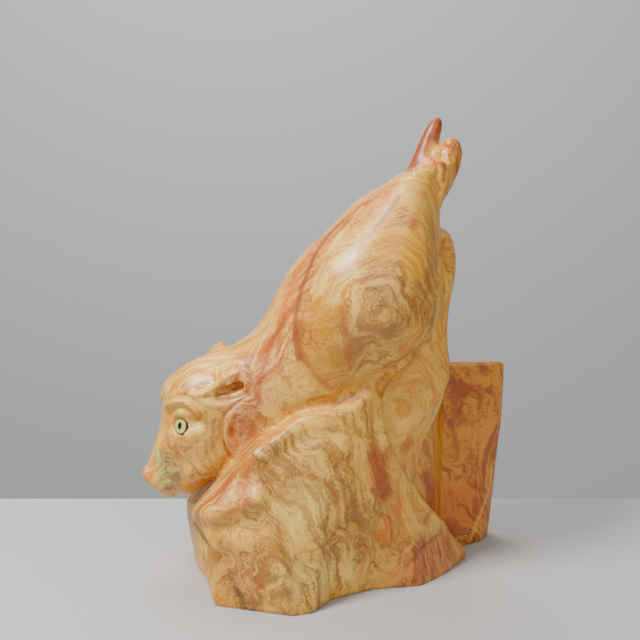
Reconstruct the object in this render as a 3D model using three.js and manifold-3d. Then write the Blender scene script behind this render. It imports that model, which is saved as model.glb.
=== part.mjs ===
// Big cat climbing head first down a rock outcrop, carved from one block of veined marble
//
// Millimetres, +Z up. The cat looks towards -X and its left side faces -Y.
// The whole carving is one solid: body, head, ears, hind paws, fins, ridge, rocks and rear slab.
// Two glass eyes sit in sockets cut into the head.

import * as THREE from "three";
import { ConvexGeometry } from "three/addons/geometries/ConvexGeometry.js";
import { mergeVertices } from "three/addons/utils/BufferGeometryUtils.js";
import Module from "manifold-3d";

const wasm = await Module();
wasm.setup();

// Driving dimensions
const eyeRadius = 10;
const eyeBulge = 5.2;
const eyeGap = 0.3;
const bodySides = 40;
const bodyRingStep = 10.5;
const headRingStep = 4.2;
const headStart = 0.66;
const capRings = 6;

const vec = (x, y, z) => new THREE.Vector3(x, y, z);
const mix = THREE.MathUtils.lerp;
const clamp = THREE.MathUtils.clamp;
const smoothstep = THREE.MathUtils.smoothstep;

// Head frame: forward along the face, side towards the cat's left, up out of the crown
const headCentre = vec(-120, -8, 206);
const headYaw = THREE.MathUtils.degToRad(10);
const headPitch = THREE.MathUtils.degToRad(30);
const headRoll = THREE.MathUtils.degToRad(12);

function headAxes() {
  const forward = vec(
    -Math.cos(headYaw) * Math.cos(headPitch),
    -Math.sin(headYaw) * Math.cos(headPitch),
    -Math.sin(headPitch),
  );
  const level = vec(Math.sin(headYaw), -Math.cos(headYaw), 0);
  const crown = vec(0, 0, 0).crossVectors(forward, level);
  const up = crown.clone().multiplyScalar(Math.cos(headRoll)).addScaledVector(level, Math.sin(headRoll));
  const side = level.clone().multiplyScalar(Math.cos(headRoll)).addScaledVector(crown, -Math.sin(headRoll));
  return { forward, side, up };
}

const head = headAxes();

// A point of the head given as forward, side and up from the head's centre
function onHead(forward, side, up) {
  return headCentre
    .clone()
    .addScaledVector(head.forward, forward)
    .addScaledVector(head.side, side)
    .addScaledVector(head.up, up);
}

// Eyes: where the middle of the glass sits, and which way it looks
const eyeFront = { forward: 40, side: 30.5, up: 5 };
const leftGaze = vec(-0.61, -0.76, 0.24).normalize();

function eyeNormal(side) {
  const mirror = side > 0 ? 0 : -2 * leftGaze.dot(head.side);
  return leftGaze.clone().addScaledVector(head.side, mirror);
}

function eyeCentre(side) {
  return onHead(eyeFront.forward, eyeFront.side * side, eyeFront.up).addScaledVector(eyeNormal(side), -eyeBulge);
}

function eyeSeat(side) {
  return eyeCentre(side).addScaledVector(eyeNormal(side), -10);
}

// Masses: a limb is a rod between two ends with a radius at each, a lump is an ellipsoid.
// Both give roughly the distance from a point to their surface, negative inside.
function limb(a, radiusA, b, radiusB) {
  const axis = b.clone().sub(a);
  const lengthSq = axis.lengthSq();
  return (p) => {
    const t = clamp(((p.x - a.x) * axis.x + (p.y - a.y) * axis.y + (p.z - a.z) * axis.z) / lengthSq, 0, 1);
    const dx = p.x - a.x - axis.x * t;
    const dy = p.y - a.y - axis.y * t;
    const dz = p.z - a.z - axis.z * t;
    return Math.hypot(dx, dy, dz) - mix(radiusA, radiusB, t);
  };
}

function lump(centre, alongX, alongY, alongZ, axes = null) {
  const ex = axes ? axes.forward : vec(1, 0, 0);
  const ey = axes ? axes.side : vec(0, 1, 0);
  const ez = axes ? axes.up : vec(0, 0, 1);
  return (p) => {
    const dx = p.x - centre.x;
    const dy = p.y - centre.y;
    const dz = p.z - centre.z;
    const u = dx * ex.x + dy * ex.y + dz * ex.z;
    const v = dx * ey.x + dy * ey.y + dz * ey.z;
    const w = dx * ez.x + dy * ez.y + dz * ez.z;
    const k = Math.hypot(u / alongX, v / alongY, w / alongZ);
    const slope = Math.hypot(u / alongX ** 2, v / alongY ** 2, w / alongZ ** 2);
    return slope < 1e-9 ? -Math.min(alongX, alongY, alongZ) : (k * (k - 1)) / slope;
  };
}

// Soft join and soft cut of two distances over a blending width
function joinSoft(a, b, width) {
  const h = Math.max(width - Math.abs(a - b), 0) / width;
  return Math.min(a, b) - (h * h * width) / 4;
}

function cutSoft(a, b, width) {
  return -joinSoft(-a, b, width);
}

// The back line seen from the side, from the rump down to the nape, and the girth below it
const backLine = [
  { at: vec(87, 0, 438), radius: 25 },
  { at: vec(48, 0, 420), radius: 48 },
  { at: vec(6, 0, 379), radius: 68 },
  { at: vec(-28, 0, 340), radius: 70 },
  { at: vec(-51, 0, 297), radius: 64 },
  { at: vec(-66, 0, 270), radius: 58 },
  { at: vec(-96, 0, 251), radius: 48 },
];

// Spine masses hang below the back line by their own radius
function spineCentres() {
  return backLine.map((knot, i) => {
    const before = backLine[Math.max(i - 1, 0)].at;
    const after = backLine[Math.min(i + 1, backLine.length - 1)].at;
    const along = after.clone().sub(before).normalize();
    const inward = vec(-along.z, 0, along.x);
    return knot.at.clone().addScaledVector(inward, knot.radius);
  });
}

const spine = spineCentres();

// A mass on the cat's left side and its mirror image on the right
function pair(make) {
  return [make(-1), make(1)];
}

function bodyMasses() {
  const masses = [];
  for (let i = 0; i + 1 < spine.length; i++) {
    masses.push({ mass: limb(spine[i], backLine[i].radius, spine[i + 1], backLine[i + 1].radius), soft: 20 });
  }
  const thigh = (s) => limb(vec(92, 23 * s, 427), 15, vec(66, 26 * s, 310), 55);
  const buttock = (s) => limb(vec(66, 26 * s, 310), 53, vec(60, 24 * s, 272), 44);
  const shoulder = (s) => limb(vec(-2, 24 * s, 278), 38, vec(8, 30 * s, 238), 36);
  const neck = limb(vec(-40, 0, 230), 50, headCentre.clone().add(vec(18, 2, 4)), 43);
  const throat = limb(vec(-50, 0, 200), 50, vec(-98, 2, 156), 42);
  pair(thigh).forEach((mass) => masses.push({ mass, soft: 22 }));
  pair(buttock).forEach((mass) => masses.push({ mass, soft: 10 }));
  pair(shoulder).forEach((mass) => masses.push({ mass, soft: 18 }));
  masses.push({ mass: neck, soft: 12 });
  masses.push({ mass: throat, soft: 14 });
  return masses;
}

function headMasses() {
  const masses = [
    { mass: lump(onHead(2, 0, -4), 49, 44, 47.5, head), soft: 10 },
    { mass: limb(onHead(36, 0, -18), 31, onHead(80, 0, -42), 17), soft: 8 },
    { mass: limb(onHead(48, 0, -52), 28, onHead(88, 0, -69), 14.5), soft: 6 },
    { mass: lump(onHead(98, 0, -46), 10, 12, 12, head), soft: 3 },
    { mass: lump(onHead(94, 0, -60), 10, 12, 9, head), soft: 4 },
  ];
  const add = (make, soft) => [1, -1].forEach((side) => masses.push({ mass: make(side), soft }));
  add((side) => lump(onHead(24, 18 * side, -24), 34, 27, 38, head), 10);
  add((side) => limb(onHead(64, 11 * side, -61), 23, onHead(34, 18 * side, -51), 27), 8);
  add((side) => lump(onHead(83, 10 * side, -53), 19, 13, 16, head), 5);
  add((side) => limb(onHead(40, 13 * side, 11), 7, onHead(27, 24 * side, 19), 9), 8);
  add((side) => limb(onHead(27, 24 * side, 19), 9, onHead(10, 34 * side, 9), 9), 8);
  add((side) => limb(onHead(40, 31 * side, -15), 7, onHead(18, 38 * side, -15), 7), 4);
  add((side) => lump(eyeSeat(side), 14, 14, 14), 5);
  return masses;
}

function headCuts() {
  const cuts = [];
  const add = (make, soft) => [1, -1].forEach((side) => cuts.push({ mass: make(side), soft }));
  add((side) => lump(onHead(25, 46 * side, 2), 13, 9, 7, head), 8);
  return cuts;
}

const solids = [...bodyMasses(), ...headMasses()];
const hollows = headCuts();

function catDistance(p) {
  let d = Infinity;
  for (const { mass, soft } of solids) {
    const m = mass(p);
    d = d === Infinity ? m : joinSoft(d, m, soft);
  }
  for (const { mass, soft } of hollows) {
    d = cutSoft(d, mass(p), soft);
  }
  return d;
}

// Outward from a point inside to where the masses end
function surfaceAlong(from, direction) {
  const p = vec(0, 0, 0);
  let inside = 0;
  let outside = 0;
  do {
    inside = outside;
    outside += 2;
    p.copy(from).addScaledVector(direction, outside);
  } while (catDistance(p) < 0);
  for (let i = 0; i < 12; i++) {
    const middle = (inside + outside) / 2;
    p.copy(from).addScaledVector(direction, middle);
    if (catDistance(p) < 0) {
      inside = middle;
    } else {
      outside = middle;
    }
  }
  return from.clone().addScaledVector(direction, inside);
}

// Path inside the cat from the rump to the muzzle
const bodyPath = new THREE.CatmullRomCurve3([
  vec(97, 0, 416),
  vec(80, 0, 354),
  vec(52, 0, 298),
  vec(10, 0, 256),
  vec(-34, 0, 230),
  vec(-80, -3, 220),
  onHead(4, 0, -6),
  onHead(40, 0, -22),
  onHead(84, 0, -50),
], false, "centripetal");

// Rings of vertices around the path, closed by a cap that fans out at each end
function wrapBody() {
  const length = bodyPath.getLength();
  const stations = [];
  let t = 0;
  while (t < 1) {
    stations.push(t);
    t += (t < headStart ? bodyRingStep : headRingStep) / length;
  }
  stations.push(1);
  const rings = [];
  const addRing = (at, lean) => {
    const centre = bodyPath.getPointAt(at);
    const tangent = bodyPath.getTangentAt(at);
    const turn = smoothstep(at, headStart - 0.1, headStart + 0.15);
    const side = vec(0, -1, 0).lerp(head.side, turn);
    side.addScaledVector(tangent, -side.dot(tangent)).normalize();
    const up = vec(0, 0, 0).crossVectors(tangent, side);
    const ring = [];
    for (let j = 0; j < bodySides; j++) {
      const angle = (2 * Math.PI * j) / bodySides;
      const radial = side.clone().multiplyScalar(Math.cos(angle)).addScaledVector(up, Math.sin(angle));
      const direction = radial.multiplyScalar(Math.cos(lean)).addScaledVector(tangent, Math.sin(lean));
      ring.push(surfaceAlong(centre, direction));
    }
    rings.push(ring);
  };
  for (let i = capRings; i > 0; i--) {
    addRing(0, (-Math.PI / 2) * (i / (capRings + 1)));
  }
  stations.forEach((at) => addRing(at, 0));
  for (let i = 1; i <= capRings; i++) {
    addRing(1, (Math.PI / 2) * (i / (capRings + 1)));
  }
  const first = surfaceAlong(bodyPath.getPointAt(0), bodyPath.getTangentAt(0).negate());
  const last = surfaceAlong(bodyPath.getPointAt(1), bodyPath.getTangentAt(1));
  return skin(rings, first, last);
}

// Closed skin over rings with a point at each end
function skin(rings, first, last) {
  const sides = rings[0].length;
  const points = [first, ...rings.flat(), last];
  const index = [];
  const at = (ring, j) => 1 + ring * sides + (j % sides);
  const end = points.length - 1;
  for (let j = 0; j < sides; j++) {
    index.push(0, at(0, j + 1), at(0, j));
    index.push(end, at(rings.length - 1, j), at(rings.length - 1, j + 1));
    for (let i = 0; i + 1 < rings.length; i++) {
      const [a, b, c, d] = [at(i, j), at(i, j + 1), at(i + 1, j + 1), at(i + 1, j)];
      const straight = points[a].distanceTo(points[c]) <= points[b].distanceTo(points[d]);
      index.push(...(straight ? [a, b, c, a, c, d] : [a, b, d, b, c, d]));
    }
  }
  const geometry = new THREE.BufferGeometry().setFromPoints(points);
  geometry.setIndex(index);
  return geometry;
}

// Solid from a closed geometry, turned outward if its faces point in
function solid(geometry) {
  const bare = geometry.clone();
  bare.deleteAttribute("normal");
  bare.deleteAttribute("uv");
  const merged = mergeVertices(bare, 1e-4);
  const vertProperties = new Float32Array(merged.attributes.position.array);
  const triVerts = new Uint32Array(merged.index.array);
  return new wasm.Manifold(new wasm.Mesh({ numProp: 3, vertProperties, triVerts }));
}

function geometryOf(manifold) {
  const mesh = manifold.getMesh();
  const geometry = new THREE.BufferGeometry();
  geometry.setAttribute("position", new THREE.BufferAttribute(new Float32Array(mesh.vertProperties), 3));
  geometry.setIndex(new THREE.BufferAttribute(new Uint32Array(mesh.triVerts), 1));
  geometry.computeVertexNormals();
  return geometry;
}

// Rock block: the convex hull of its corners
function block(corners) {
  return solid(new ConvexGeometry(corners.map(([x, y, z]) => vec(x, y, z))));
}

// Bar with an oval section that follows a curve, rounded at both ends.
// Each knot is a place on the curve with the half width and half thickness there.
function bar(knots, widthAxis, sides = 10, steps = 6) {
  const curve = new THREE.CatmullRomCurve3(knots.map((knot) => knot.at), false, "centripetal");
  const halfWidth = new THREE.SplineCurve(knots.map((knot, i) => new THREE.Vector2(i, knot.width)));
  const halfThick = new THREE.SplineCurve(knots.map((knot, i) => new THREE.Vector2(i, knot.thick)));
  const rings = [];
  for (let i = 0; i <= steps; i++) {
    const t = i / steps;
    const centre = curve.getPoint(t);
    const tangent = curve.getTangent(t);
    const wide = widthAxis.clone().addScaledVector(tangent, -widthAxis.dot(tangent)).normalize();
    const thick = vec(0, 0, 0).crossVectors(tangent, wide);
    const a = halfWidth.getPoint(t).y;
    const b = halfThick.getPoint(t).y;
    const ring = [];
    for (let j = 0; j < sides; j++) {
      const angle = (2 * Math.PI * j) / sides;
      ring.push(centre.clone().addScaledVector(wide, a * Math.cos(angle)).addScaledVector(thick, b * Math.sin(angle)));
    }
    rings.push(ring);
  }
  const roundEnd = (t, sign) => {
    const tangent = curve.getTangent(t).multiplyScalar(sign);
    return curve.getPoint(t).addScaledVector(tangent, Math.min(halfWidth.getPoint(t).y, halfThick.getPoint(t).y) * 0.5);
  };
  return solid(skin(rings, roundEnd(0, -1), roundEnd(1, 1)));
}

// Front rock under the forequarters: a tall block with a facet cut at its left, and a toe at its right
function frontRock() {
  const leftBlock = block([
    [-111, -82, 0], [-29, -105, 0], [-8, -99, 0], [14, -68, 0], [40, 0, 0], [-95, 30, 0],
    [-36, -103, 45], [-49, -99, 89], [-64, -92, 124], [-61, -80, 171],
    [-42, -74, 180], [-23, -70, 193], [5, -66, 203], [21, -66, 203],
    [-112, -84, 105], [-83, -88, 116], [-135, -58, 97], [-129, -66, 61],
    [-131, -50, 102], [-112, -45, 114], [-91, -42, 141], [-67, -42, 172], [-49, -45, 191], [-23, -46, 207],
    [5, -45, 220], [22, -42, 227], [-60, 20, 150], [0, 20, 200], [-100, 30, 90],
  ]);
  const rightBlock = block([
    [14, -68, 0], [32, -54, 0], [60, -42, 0], [60, 20, 0], [0, 0, 0], [-2, -84, 100], [24, -76, 100], [60, -58, 100],
    [5, -66, 203], [21, -66, 203], [27, -68, 191], [43, -63, 176], [66, -47, 178], [66, -34, 181], [85, -32, 129],
    [104, -19, 93], [84, -40, 60], [60, 10, 180], [90, 10, 100], [0, 0, 190],
  ]);
  const peak = block([
    [5, -66, 203], [21, -66, 203], [37, -60, 212], [54, -50, 224], [59, -45, 224], [61, -35, 221], [56, -35, 228],
    [49, -42, 240], [44, -38, 243], [22, -42, 227], [5, -45, 220], [40, 10, 230], [5, 10, 215],
    [27, -68, 191], [43, -63, 176], [66, -47, 178], [66, -34, 181], [60, 10, 180], [20, -20, 150],
  ]);
  const toe = block([
    [50, -46, 0], [110, -36, 0], [137, -9, 0], [169, 36, 0], [160, 62, 0], [20, 60, 0],
    [168, 34, 8], [162, 24, 18], [147, 10, 41], [104, -19, 93], [85, -32, 129], [84, 30, 120], [130, 50, 50],
  ]);
  return leftBlock.add(rightBlock).add(peak).add(toe);
}

// Rock on the hidden side, plainer, with the rounded brown boss that shows under the chin
function farRock() {
  const boss = block([
    [-144, 40, 85], [-138, 40, 88], [-153, 40, 69], [-154, 42, 57], [-149, 30, 37], [-140, 14, 0], [-110, -60, 0],
    [-130, -20, 86], [-140, 70, 78], [-146, 66, 50], [-136, 70, 0], [-80, 88, 0], [-84, 84, 110], [-60, 20, 0],
    [-70, 20, 130], [-110, 30, 112], [-110, -40, 100],
  ]);
  const cliff = block([
    [-90, 84, 0], [-84, 84, 110], [-60, 74, 150], [-20, 74, 185], [30, 72, 205], [70, 68, 215], [110, 66, 200],
    [150, 100, 0], [0, 104, 0], [-60, 98, 0], [0, 96, 80], [110, 10, 0], [-80, 10, 0], [-60, 10, 150], [90, 10, 215],
    [130, 40, 190], [140, 60, 0], [150, 98, 150], [130, 96, 200],
  ]);
  return boss.add(cliff);
}

// Upright slab at the back, its face turning away at the lower right
function rearSlab() {
  return block([
    [120, 62, 0], [172, 70, 0], [190, 80, 0], [203, 97, 0], [200, 116, 0], [110, 112, 0],
    [149, 79, 223], [203, 80, 222], [213, 87, 221], [215, 94, 216], [211, 100, 214], [120, 100, 216], [110, 80, 216],
    [209, 94, 92], [206, 95, 56], [214, 92, 156],
  ]);
}

// Ridge that carries the haunch: right edge and depth by height
const ridgeLevels = [
  { z: 6, left: -10, right: 112, front: -20, back: 66 },
  { z: 60, left: -10, right: 106, front: -24, back: 66 },
  { z: 95, left: -10, right: 103, front: -28, back: 66 },
  { z: 127, left: -8, right: 108, front: -30, back: 66 },
  { z: 154, left: -4, right: 113, front: -32, back: 66 },
  { z: 178, left: 0, right: 124, front: -33, back: 66 },
  { z: 202, left: 6, right: 134, front: -32, back: 66 },
  { z: 224, left: 14, right: 141, front: -30, back: 64 },
  { z: 250, left: 24, right: 139, front: -28, back: 60 },
  { z: 280, left: 36, right: 136, front: -24, back: 56 },
  { z: 304, left: 46, right: 139, front: -20, back: 50 },
  { z: 335, left: 60, right: 145, front: -14, back: 44 },
  { z: 355, left: 70, right: 145, front: -8, back: 40 },
  { z: 372, left: 84, right: 142, front: 0, back: 36 },
  { z: 382, left: 100, right: 137, front: 8, back: 30 },
];

function ridge() {
  const sides = 20;
  const squareness = 3;
  const rings = ridgeLevels.map(({ z, left, right, front, back }) => {
    const ring = [];
    for (let j = 0; j < sides; j++) {
      const angle = (2 * Math.PI * j) / sides;
      const c = Math.cos(angle);
      const s = Math.sin(angle);
      const x = Math.sign(c) * Math.abs(c) ** (2 / squareness);
      const y = Math.sign(s) * Math.abs(s) ** (2 / squareness);
      ring.push(vec((left + right) / 2 + (x * (right - left)) / 2, (front + back) / 2 + (y * (back - front)) / 2, z));
    }
    return ring;
  });
  const low = ridgeLevels[0];
  const high = ridgeLevels[ridgeLevels.length - 1];
  const first = vec((low.left + low.right) / 2, (low.front + low.back) / 2, low.z - 5);
  const last = vec((high.left + high.right) / 2 + 4, (high.front + high.back) / 2, high.z + 5);
  return solid(skin(rings, first, last));
}

// Two blade-like fins that rise behind the hind paws
function fins() {
  const blade = vec(0, 1, 0);
  const tall = bar([
    { at: vec(84, 22, 395), width: 14, thick: 13 },
    { at: vec(101, 24, 434), width: 14, thick: 14 },
    { at: vec(112, 27, 464), width: 12, thick: 12.5 },
    { at: vec(120, 29, 488), width: 10, thick: 10 },
    { at: vec(125, 30, 498.5), width: 6, thick: 5.5 },
  ], blade);
  const short = bar([
    { at: vec(96, 12, 385), width: 12, thick: 12 },
    { at: vec(121, 11, 423), width: 15, thick: 14 },
    { at: vec(134, 10, 452), width: 14, thick: 14 },
    { at: vec(136, 9, 470), width: 12, thick: 13 },
    { at: vec(137, 9, 479), width: 6, thick: 9 },
  ], blade);
  return tall.add(short);
}

// Toes of a hind paw, hooked over the top of the ridge; s is -1 for the near side
function hindPaw(s) {
  const wide = vec(0, 1, 0);
  const outer = bar([
    { at: vec(98, 17 * s, 428), width: 12, thick: 12 },
    { at: vec(104, 17 * s, 443), width: 11, thick: 11 },
    { at: vec(105, 17 * s, 452), width: 8, thick: 8 },
  ], wide);
  const middle = bar([
    { at: vec(108, 12 * s, 428), width: 11, thick: 11 },
    { at: vec(116, 14 * s, 447), width: 10, thick: 10.5 },
    { at: vec(118, 14 * s, 458), width: 7, thick: 7 },
  ], wide);
  const inner = bar([
    { at: vec(113, 8 * s, 405), width: 11, thick: 10 },
    { at: vec(126, 10 * s, 436), width: 10, thick: 9 },
    { at: vec(128, 10 * s, 456), width: 6, thick: 5 },
  ], wide);
  return outer.add(middle).add(inner);
}

// Hull of balls, each given by its place on the head (forward, side, up) and its radius
function ballHull(balls, side) {
  const points = [];
  for (const [forward, out, up, radius] of balls) {
    const ball = new THREE.SphereGeometry(radius, 8, 6).attributes.position;
    const centre = onHead(forward, out * side, up);
    for (let i = 0; i < ball.count; i++) {
      points.push(new THREE.Vector3().fromBufferAttribute(ball, i).add(centre));
    }
  }
  return solid(new ConvexGeometry(points));
}

// Ear: a three-cornered leaf laid back along the head, its tip high at the rear; side is 1 for the cat's left
const earFront = [0, 35, 16, 5];
const earTip = [-40, 35, 28, 6.5];
const earRear = [-40, 38, 6, 6.5];
const earRoot = [-20, 24, 12, 8];

function ear(side) {
  return ballHull([earFront, earTip, earRear, earRoot], side);
}

// Hollow of the ear: the leaf's corners drawn in behind a rim
const hollowFront = [-6, 44, 15.5, 2.5];
const hollowTip = [-38, 45, 25, 3];
const hollowRear = [-37, 46, 9, 3.5];
const hollowFloor = [-29, 38, 15, 3];

function earHollow(side) {
  return ballHull([hollowFront, hollowTip, hollowRear, hollowFloor], side);
}

// Glass eye: a flat dome, turned to look level and forward
function eyeDome(side, gap) {
  const geometry = new THREE.SphereGeometry(1, 16, 10);
  geometry.scale(eyeRadius + gap, eyeRadius + gap, eyeBulge + gap);
  geometry.applyQuaternion(new THREE.Quaternion().setFromUnitVectors(vec(0, 0, 1), eyeNormal(side)));
  const centre = eyeCentre(side);
  geometry.translate(centre.x, centre.y, centre.z);
  return geometry;
}

// Opening in the marble in front of the glass, widening outward like a lid
function eyeOpening(side) {
  const geometry = new THREE.CylinderGeometry(eyeRadius + 4, eyeRadius - 0.6, 14, 16);
  geometry.translate(0, 7 + eyeBulge * 0.3, 0);
  geometry.applyQuaternion(new THREE.Quaternion().setFromUnitVectors(vec(0, 1, 0), eyeNormal(side)));
  const centre = eyeCentre(side);
  geometry.translate(centre.x, centre.y, centre.z);
  return geometry;
}

function marbleBody() {
  let carving = solid(wrapBody());
  for (const side of [1, -1]) {
    carving = carving.add(ear(side));
    carving = carving.subtract(earHollow(side));
  }
  carving = carving.add(ridge()).add(fins());
  carving = carving.add(hindPaw(-1)).add(hindPaw(1));
  carving = carving.add(frontRock()).add(farRock()).add(rearSlab());
  const underside = new THREE.BoxGeometry(1000, 1000, 200).translate(0, 0, -100);
  carving = carving.subtract(solid(underside));
  for (const side of [1, -1]) {
    carving = carving.subtract(solid(eyeDome(side, eyeGap))).subtract(solid(eyeOpening(side)));
  }
  return geometryOf(carving);
}

const marble = new THREE.MeshStandardMaterial({ color: 0xd9a066, roughness: 0.25, metalness: 0 });
const glass = new THREE.MeshStandardMaterial({ color: 0xb9b45a, roughness: 0.05, metalness: 0 });

function part(name, geometry, material) {
  const mesh = new THREE.Mesh(geometry, material);
  mesh.name = name;
  return mesh;
}

const sculpture = new THREE.Group();
sculpture.add(part("marble_panther", marbleBody(), marble));
sculpture.add(part("eye_left", eyeDome(1, 0), glass));
sculpture.add(part("eye_right", eyeDome(-1, 0), glass));

// The origin is the middle of the footprint's box, on the ground
const extent = new THREE.Box3().setFromObject(sculpture);
const middle = extent.getCenter(vec(0, 0, 0));
sculpture.position.set(-middle.x, -middle.y, -extent.min.z);

export default sculpture;
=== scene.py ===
import math

import bpy
import numpy as np
from mathutils import Matrix, Vector, noise
from mathutils.bvhtree import BVHTree


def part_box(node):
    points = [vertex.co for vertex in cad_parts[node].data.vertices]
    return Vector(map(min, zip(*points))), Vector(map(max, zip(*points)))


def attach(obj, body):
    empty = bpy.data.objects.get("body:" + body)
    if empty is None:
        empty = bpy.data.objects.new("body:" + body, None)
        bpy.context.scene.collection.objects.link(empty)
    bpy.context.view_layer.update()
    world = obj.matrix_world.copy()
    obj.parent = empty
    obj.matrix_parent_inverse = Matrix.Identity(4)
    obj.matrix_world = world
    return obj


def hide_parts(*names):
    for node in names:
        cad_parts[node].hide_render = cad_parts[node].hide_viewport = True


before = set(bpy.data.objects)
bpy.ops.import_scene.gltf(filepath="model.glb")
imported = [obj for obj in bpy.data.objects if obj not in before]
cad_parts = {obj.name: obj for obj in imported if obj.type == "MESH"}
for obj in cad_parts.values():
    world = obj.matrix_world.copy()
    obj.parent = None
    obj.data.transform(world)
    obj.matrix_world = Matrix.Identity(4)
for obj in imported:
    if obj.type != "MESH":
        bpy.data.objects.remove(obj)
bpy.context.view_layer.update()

mm = 0.001


def srgb(hexCode):
    parts = [int(hexCode[i:i + 2], 16) / 255 for i in (1, 3, 5)]
    return [p / 12.92 if p <= 0.04045 else ((p + 0.055) / 1.055) ** 2.4 for p in parts] + [1.0]


def pickOnly(piece):
    bpy.ops.object.select_all(action="DESELECT")
    piece.select_set(True)
    bpy.context.view_layer.objects.active = piece


def addNode(tree, kind, settings, links):
    # settings are the node's own options or its sockets' values, links are sockets fed by others
    node = tree.nodes.new(kind)
    for name, value in settings.items():
        if isinstance(name, str) and hasattr(node, name):
            setattr(node, name, value)
        else:
            node.inputs[name].default_value = value
    for name, source in links.items():
        tree.links.new(source, node.inputs[name])
    return node


def fresh(name):
    material = bpy.data.materials.new(name)
    material.use_nodes = True
    material.node_tree.nodes.clear()
    return material


# camera, where the photograph was taken from
shot = {"place": (-0.0108, -1.1055, 0.520), "tiltDown": 11.9, "focalPixels": 1057, "framePixels": 640}

bpy.ops.object.camera_add(location=shot["place"], rotation=(math.radians(90 - shot["tiltDown"]), 0, 0))
camera = bpy.context.object
camera.name = "photo_camera"
camera.data.lens = 36 * shot["focalPixels"] / shot["framePixels"]
bpy.context.scene.camera = camera


def sightLine(px, py):
    tilt = math.radians(shot["tiltDown"])
    half = shot["framePixels"] / 2
    right, up = (px - half) / shot["focalPixels"], (half - py) / shot["focalPixels"]
    ahead = Vector((0, math.cos(tilt), -math.sin(tilt)))
    over = Vector((0, math.sin(tilt), math.cos(tilt)))
    return Vector(shot["place"]), (ahead + Vector((1, 0, 0)) * right + over * up).normalized()


# carving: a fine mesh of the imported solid, rounded as polishing rounds it
print("carving")
carvingSet = {"voxel": 2.8 * mm, "roundAll": 4, "roundBody": 30, "farSide": 0.6}

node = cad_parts["marble_panther"]
carving = node.copy()
carving.data = node.data.copy()
carving.name = "panther_carving"
carving.data.name = "panther_carving"
carving.parent = None
for key in list(carving.keys()):
    del carving[key]
bpy.context.scene.collection.objects.link(carving)
pickOnly(carving)
bpy.ops.object.mode_set(mode="EDIT")
bpy.ops.mesh.select_all(action="SELECT")
bpy.ops.mesh.remove_doubles(threshold=0.00001)
bpy.ops.mesh.normals_make_consistent(inside=False)
bpy.ops.object.mode_set(mode="OBJECT")
carving.data.materials.clear()


def applied(piece, kind, **settings):
    pickOnly(piece)
    modifier = piece.modifiers.new(kind.lower(), kind)
    for name, value in settings.items():
        setattr(modifier, name, value)
    bpy.ops.object.modifier_apply(modifier=modifier.name)


applied(carving, "REMESH", mode="VOXEL", voxel_size=carvingSet["voxel"], adaptivity=0)


def placesOf(piece):
    flat = np.empty(len(piece.data.vertices) * 3)
    piece.data.vertices.foreach_get("co", flat)
    return flat.reshape(-1, 3)


def putPlaces(piece, places):
    piece.data.vertices.foreach_set("co", places.ravel())
    piece.data.update()


def soft(t):
    t = np.clip(t, 0, 1)
    return t * t * (3 - 2 * t)


def distanceToLine(places, line):
    best = np.full(len(places), 1e9)
    for a, b in zip(line[:-1], line[1:]):
        along = b - a
        t = np.clip((places - a) @ along / max(along @ along, 1e-12), 0, 1)
        best = np.minimum(best, np.linalg.norm(places - a - t[:, None] * along, axis=1))
    return best


def weighGroup(piece, name, weights):
    group = piece.vertex_groups.get(name) or piece.vertex_groups.new(name=name)
    steps = np.round(np.clip(weights, 0, 1) * 10).astype(int)
    for step in range(1, 11):
        group.add(np.flatnonzero(steps == step).tolist(), step / 10, "REPLACE")
    return name


# the cat is smoother than the rock: middle line of its body with the reach of the flesh round it
catLine = np.array([(86, -5, 416), (62, -5, 340), (30, -5, 290), (-10, -5, 260), (-60, -5, 232), (-110, -10, 214),
                    (-150, -16, 190), (-176, -20, 168)]) * mm
places = placesOf(carving)
onCat = soft((0.105 - distanceToLine(places, catLine)) / 0.03)
onCat *= soft((places[:, 2] - (0.150 + 0.0 * places[:, 0])) / 0.02)
weighGroup(carving, "flesh", onCat)
applied(carving, "SMOOTH", factor=0.5, iterations=carvingSet["roundAll"])
applied(carving, "SMOOTH", factor=0.5, iterations=carvingSet["roundBody"], vertex_group="flesh")

# the head gets a mesh half as coarse, for the eyelids, lips and ears
headMiddle = np.array((-140, -14, 198)) * mm
headReach = 76 * mm
pickOnly(carving)
bpy.ops.object.mode_set(mode="EDIT")
bpy.ops.mesh.select_all(action="DESELECT")
bpy.ops.object.mode_set(mode="OBJECT")
for face in carving.data.polygons:
    face.select = (face.center - Vector(headMiddle)).length < headReach
bpy.ops.object.mode_set(mode="EDIT")
bpy.ops.mesh.select_mode(type="FACE")
bpy.ops.mesh.subdivide(number_cuts=1, smoothness=0.5)
bpy.ops.object.mode_set(mode="OBJECT")
pickOnly(carving)
bpy.ops.object.shade_smooth()
print("carving faces", len(carving.data.polygons), "triangles", sum(len(f.vertices) - 2 for f in carving.data.polygons))


def normalsOf(piece):
    flat = np.empty(len(piece.data.vertices) * 3)
    piece.data.vertex_normals.foreach_get("vector", flat)
    return flat.reshape(-1, 3)


# strokes are traced in the photograph's pixels and land on the stone that shows there
stone = BVHTree.FromPolygons([v.co for v in carving.data.vertices], [f.vertices for f in carving.data.polygons])


def tracedOn(pixels):
    points = [np.array(p, float) for p in pixels]
    line = []
    for i in range(len(points) - 1):
        p0, p1, p2, p3 = points[max(i - 1, 0)], points[i], points[i + 1], points[min(i + 2, len(points) - 1)]
        steps = max(int(np.linalg.norm(p2 - p1) / 1.5), 1)
        for t in np.arange(steps) / steps:
            line.append(0.5 * (2 * p1 + (p2 - p0) * t + (2 * p0 - 5 * p1 + 4 * p2 - p3) * t ** 2
                               + (3 * p1 - p0 - 3 * p2 + p3) * t ** 3))
    line.append(points[-1])
    hits = [stone.ray_cast(*sightLine(*p))[0] for p in line]
    return np.array([h for h in hits if h is not None])


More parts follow.
